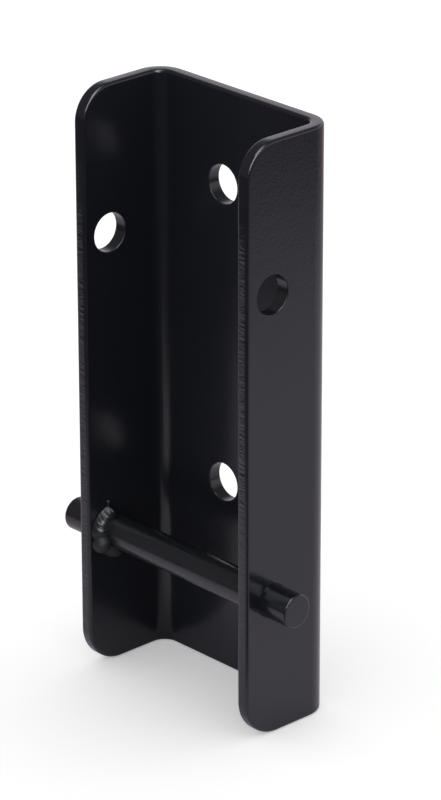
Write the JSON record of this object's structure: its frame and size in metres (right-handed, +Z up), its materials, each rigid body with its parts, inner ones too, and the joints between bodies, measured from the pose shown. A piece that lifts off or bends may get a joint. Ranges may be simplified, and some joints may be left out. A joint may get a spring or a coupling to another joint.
{
  "type": "adapter plate",
  "caption": "Upright channel-shaped adapter plate that bolts on through its web, with pin holes in its flanges and a welded cross pin near the bottom end.",
  "frame": {"origin": "on the back face of the web, midway between the two bolt holes", "axes": "+Y out of the back face, towards what the plate is bolted to; +Z up along the channel; +X to the right flange as seen from the open front"},
  "size_m": [0.112, 0.0405, 0.215],
  "materials": {
    "black_paint": "gloss black paint, slightly orange-peeled, over bent steel plate, bar and weld"
  },
  "bodies": {
    "root": {"channel": "black_paint", "cross_pin": "black_paint", "inner_weld": "black_paint"}
  },
  "joints": []
}
